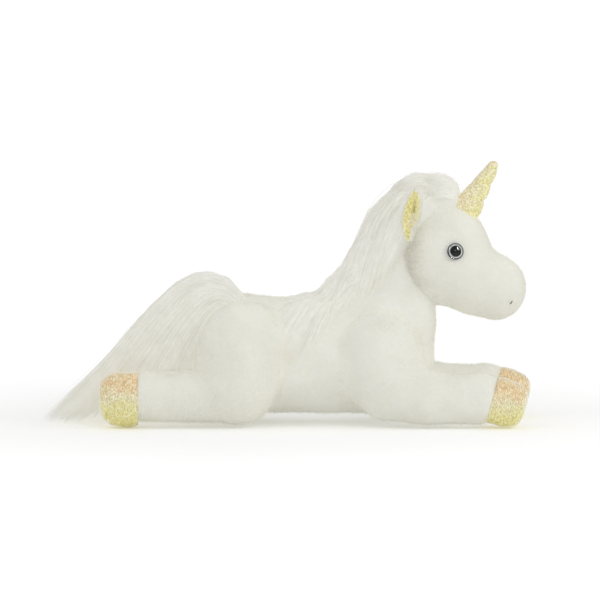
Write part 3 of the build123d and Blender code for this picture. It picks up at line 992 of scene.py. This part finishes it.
def dress_mane():
    points, quads = smooth_net(lambda p: ridge_field(p) + 1.0, vec(10, -28, 66), vec(122, 28, 180), 2.5)
    core = make("mane_core", points, quads, CORE)
    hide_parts("mane_strip")
    bend(core)
    for name, side, seed in (("left", 1, 51), ("crest", 0, 52), ("right", -1, 53)):
        rng = np.random.default_rng(seed)
        count, clumps = 4000, 260
        clump = rng.integers(0, clumps, count)
        s = np.clip(rng.random(clumps)[clump] + 0.02 * rng.normal(size=count), 0, 1) ** 0.85
        spread = rng.random(clumps)[clump] + 0.04 * rng.normal(size=count)
        phi = np.radians(side * (12 + 58 * spread) if side else 44 * (spread - 0.5))
        base = on_crest(s) - (NECK_BACK * 5 + Z * 2)
        roots = base + Y * (np.sin(phi) * 13)[:, None] - NECK_BACK * ((1 - np.cos(phi)) * 12)[:, None]
        heading = unit(NECK_BACK * 0.9 + Y * np.sin(phi)[:, None] * 1.2 + Z * 0.1)
        length = rng.uniform(38, 84, count) * (1 - (0.3 if side else 0.75) * s)
        height = rng.uniform(0.8, 4.2, count) * (1 - 0.4 * s) + np.where(rng.random(count) < 0.06, 3.5, 0)

        def fall(p, phi=phi, side=side):
            lateral = Y * (np.sin(phi) * (0.6 if side else 0.12))[:, None]
            return unit(vec(-0.42, 0, -0.9) + lateral)

        paths = comb(roots, heading, length, height, mane_ground, 9, rng, fall)
        piece = strands(f"mane_hair_{name}", paths, rng.uniform(0.16, 0.34, count), HAIR, seed, clump)
        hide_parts("mane_hair")
        bend(piece)


def tuft_field(p):
    """Opaque core of the hair on top of the head."""
    return chain(p * vec(1, 1.35, 1), [(vec(96, 0, 155.5), 20.2), (vec(105.5, 0, 158), 17.3)], 6)


def crown_ground(p):
    return join(head_field(p), tuft_field(p) - 1.0, 5)


def dress_crown():
    points, quads = smooth_net(tuft_field, vec(72, -22, 130), vec(130, 22, 182), 2.5)
    core = make("poll_core", points, quads, CORE)
    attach(core, "head")
    for name, back, front, seed in (("poll", 84, 104, 61), ("forelock", 101, 122, 62)):
        rng = np.random.default_rng(seed)
        count = 3900
        x = rng.uniform(back, front, count)
        y = 15.5 * np.sin(rng.uniform(-1.5, 1.5, count))
        roots = np.stack([x, y, rng.uniform(164, 176, count)], -1)
        for _ in range(4):
            roots = roots - gradient(crown_ground, roots) * (crown_ground(roots) + 0.6)[:, None]
        out = gradient(crown_ground, roots)
        heading = unit(out * 0.5 + vec(-0.9, 0, 0.4) + 0.15 * rng.normal(size=(count, 3)))
        length = rng.uniform(12, 26, count)
        height = rng.uniform(0.6, 3.2, count) + np.where(rng.random(count) < 0.05, 3.0, 0)

        def fall(p):
            return unit(np.stack([np.full(len(p), -1.0), p[:, 1] * 0.01, np.full(len(p), 0.02)], -1))

        paths = comb(roots, heading, length, height, crown_ground, 8, rng, fall, 0.3)
        piece = strands(f"{name}_strands", paths, rng.uniform(0.14, 0.28, count), HAIR, seed)
        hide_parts(f"{name}_hair")
        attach(piece, "head")


# Tail
def tail_paths(u, v):
    """Control points of strands: u runs from the top of the fan to its inner edge, v from right to left."""
    u, v = u[:, None], v[:, None]
    root = TAIL + vec(22, 0, -14) + Y * v * 7 - vec(9, 0, 6) * u
    arch = TAIL + vec(-26, 0, 63) * (1 - u) + vec(-4, 0, 3) * u + Y * v * 14
    sweep = vec(-112, 0, 50) * (1 - u) + vec(-63, 0, 60) * u + Y * v * 15
    end = vec(TAIL_END - 2, 0, 1) * (1 - u) + vec(-76, 0, 6) * u + Y * v * 15
    return np.stack([root, arch, sweep, end], 1)


TAIL_STOPS = vec(0, 0.09, 0.17, 0.25, 0.34, 0.45, 0.6, 0.8, 1)


def tail_core_field(p):
    """Opaque core of the fan of hair."""
    field = None
    for u in (0.3, 0.5, 0.7, 0.88):
        curve = bezier(tail_paths(vec(u), vec(0.0)), np.linspace(0, 0.9, 6))[0]
        radii = np.interp(np.linspace(0, 1, 6), (0, 0.3, 0.8, 1), (4, 7, 8, 3))
        part = chain(p * vec(1, 0.8, 1), list(zip(curve, radii)), 6)
        field = part if field is None else join(field, part, 6)
    return keep(field, 1.0 - p[:, 2], 3)


def dress_tail():
    points, quads = smooth_net(tail_core_field, vec(-180, -20, -2), vec(-36, 20, 116), 3.0)
    core = make("tail_core", points, quads, CORE)
    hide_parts("tail_dock")
    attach(core, "tail")
    for name, side, seed in (("left", 1, 81), ("right", -1, 82), ("top", 0, 83)):
        rng = np.random.default_rng(seed)
        count, clumps = 3900, 220
        clump = rng.integers(0, clumps, count)
        u = np.clip(rng.random(clumps)[clump] + 0.03 * rng.normal(size=count), 0, 1)
        v = side * rng.uniform(0.75, 1.15, count) if side else rng.uniform(-1, 1, count)
        u = u if side else u * 0.3
        drift = rng.normal(size=(clumps, 4, 3))[clump] * vec(0, 0.8, 1.4, 2.6)[:, None]
        loose = np.where(rng.random((count, 1, 1)) < 0.05, 1.2, 0.18)
        drift = drift + loose * rng.normal(size=(count, 4, 3)) * vec(0, 1, 1, 1.6)[:, None]
        reach = rng.uniform(0.78, 1.0, (count, 1)) ** 0.6
        paths = bezier(tail_paths(u, v) + drift, TAIL_STOPS * reach)
        paths[..., 2] = np.maximum(paths[..., 2], rng.uniform(0.4, 2.0, (count, 1)))
        piece = strands(f"tail_hair_{name}", paths, rng.uniform(0.18, 0.38, count), HAIR, seed, clump)
        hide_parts("tail_hair")
        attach(piece, "tail")


def grey(level):
    return level, level, level


def dress_eyes():
    """Rim, iris, pupil and clear dome, turned about the axis of each eye's seat."""
    seat = HEAD + EYE_AXIS * 31.4
    bow, peak = 7.7, 3.8
    rim = [(-1.0, 5.2), (0.3, 5.85), (1.0, 5.9), (1.4, 5.85), (1.6, 5.65), (1.5, 5.4), (1.0, 5.4), (1.0, 0.3)]
    iris = [(1.05, 5.35), (1.3, 5.3), (1.36, 4.7), (1.3, 4.1), (1.1, 0.3)]
    pupil = [(1.2, 4.05), (1.36, 4.1), (1.44, 3.85), (1.46, 0.3)]
    dome = [(peak - bow * (1 - math.cos(a)), bow * math.sin(a)) for a in np.linspace(0.80, 0.03, 14)]
    parts = (
        ("base", rim, plain_material("eye_black", grey(0.006), grey(0.012), 0.35, 400, gloss=0.1)),
        ("iris", iris, plain_material("eye_silver", (0.40, 0.44, 0.43), (0.78, 0.82, 0.80), 0.3, 900)),
        ("pupil", pupil, plain_material("eye_pupil", grey(0.004), grey(0.008), 0.5, 400, gloss=0.0)),
        ("lens", [(1.48, 5.3)] + dome, lens_material()),
    )
    for part, profile, finish in parts:
        points, faces = lathe(profile, 48, seat, EYE_AXIS)
        for name, side in SIDES:
            p, f = (points, faces) if side > 0 else mirrored(points, faces)
            piece = make(f"eye_{part}_turned_{name}", p, f, finish)
            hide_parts(f"eye_{part}_{name}")
            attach(piece, "head")


# Studio
FLOOR_REACH = 30.0
CATCH_POWER = 60.0
CAMERA_ELEVATION = math.radians(4.8)
CAMERA_DISTANCE = 4.8
CAMERA_TARGET = Vector((0.0072, 0, 0.0885))


def light_world():
    """White all round: full to the camera, dimmer as light and dimmer still in reflections."""
    world = bpy.data.worlds.new("studio")
    bpy.context.scene.world = world
    world.use_nodes = True
    nodes, links = world.node_tree.nodes, world.node_tree.links
    level = 0.68
    for kind, shown in (("Glossy", 0.36), ("Camera", 1.0)):
        step = nodes.new("ShaderNodeMapRange")
        links.new(ray_is(nodes, kind), step.inputs["Value"])
        feed(links, level, step.inputs["To Min"])
        step.inputs["To Max"].default_value = shown
        level = step.outputs[0]
    links.new(level, nodes["Background"].inputs["Strength"])
    nodes["Background"].inputs["Color"].default_value = (1, 1, 1, 1)


def lay_floor():
    """Pale paper that grows white with distance, to the camera only."""
    mesh = bpy.data.meshes.new("floor")
    ends = (-FLOOR_REACH, FLOOR_REACH)
    mesh.from_pydata([(x, y, 0) for x in ends for y in ends], [], [(0, 2, 3, 1)])
    floor = bpy.data.objects.new("floor", mesh)
    bpy.context.scene.collection.objects.link(floor)
    paper = plain_material("studio_floor", (0.93, 0.93, 0.93), (0.95, 0.95, 0.95), 0.9, 3)
    nodes, links = paper.node_tree.nodes, paper.node_tree.links
    far = nodes.new("ShaderNodeVectorMath")
    far.operation = "LENGTH"
    links.new(nodes.new("ShaderNodeTexCoord").outputs["Object"], far.inputs[0])
    near = nodes.new("ShaderNodeMapRange")
    for key, value in (("From Min", 0.15), ("From Max", 0.6), ("To Min", 0.21), ("To Max", 0.42)):
        near.inputs[key].default_value = value
    links.new(far.outputs["Value"], near.inputs["Value"])
    shader = nodes["Principled BSDF"]
    shader.inputs["Emission Color"].default_value = (1, 1, 1, 1)
    glow = sums(nodes, links, "MULTIPLY", near.outputs[0], ray_is(nodes, "Camera"))
    links.new(glow, shader.inputs["Emission Strength"])
    mesh.materials.append(paper)


def catch_light_place():
    """Where a lamp has to hang for the near eye's dome to show it up and to the right."""
    toward = unit(vec(0, -1, 0.084))
    glint = unit(EYE_AXIS * vec(1, -1, 1) + 0.2 * X + 0.24 * Z)
    return EYE * vec(1, -1, 1) * MM + 1.3 * (2 * (glint @ toward) * glint - toward)


def hang_lamps():
    """Catch light on the eyes alone, then a key, a side and a back lamp."""
    lenses = bpy.data.collections.new("lenses")
    for name, _ in SIDES:
        lenses.objects.link(bpy.data.objects[f"eye_lens_turned_{name}"])
    lamps = (
        (tuple(catch_light_place()), CATCH_POWER, 0.55),
        ((0.5, -1.15, 0.72), 0.9, 0.12),
        ((1.2, -0.5, 0.75), 2.4, 0.6),
        ((-0.7, -0.6, 1.0), 0.9, 0.6),
    )
    for place, power, spread in lamps:
        lamp = bpy.data.lights.new("softbox", "AREA")
        lamp.energy = power
        lamp.size = spread
        holder = bpy.data.objects.new("softbox", lamp)
        holder.location = place
        if power == CATCH_POWER:
            holder.light_linking.receiver_collection = lenses
        aim = Vector((0, 0, 0.08)) - holder.location
        holder.rotation_euler = aim.to_track_quat("-Z", "Y").to_euler()
        bpy.context.scene.collection.objects.link(holder)


def set_camera():
    camera = bpy.data.objects.new("camera", bpy.data.cameras.new("camera"))
    camera.data.lens = 400
    camera.data.sensor_width = 36
    camera.data.clip_end = 100
    back = Vector((0, -math.cos(CAMERA_ELEVATION), math.sin(CAMERA_ELEVATION)))
    camera.location = CAMERA_TARGET + back * CAMERA_DISTANCE
    camera.rotation_euler = (-back).to_track_quat("-Z", "Y").to_euler()
    bpy.context.scene.collection.objects.link(camera)
    bpy.context.scene.camera = camera


def studio():
    light_world()
    lay_floor()
    hang_lamps()
    set_camera()
    bpy.context.scene.view_settings.view_transform = "Standard"
    bpy.context.scene.cycles.diffuse_bounces = 8
    bpy.context.scene.cycles.transmission_bounces = 8
    bpy.context.scene.cycles.transparent_max_bounces = 24


dress_torso()
dress_head()
for side_name, side_sign in SIDES:
    dress_nostril(side_name, side_sign)
dress_legs()
dress_hooves()
dress_horn()
dress_ears()
dress_mane()
dress_crown()
dress_tail()
dress_eyes()
studio()
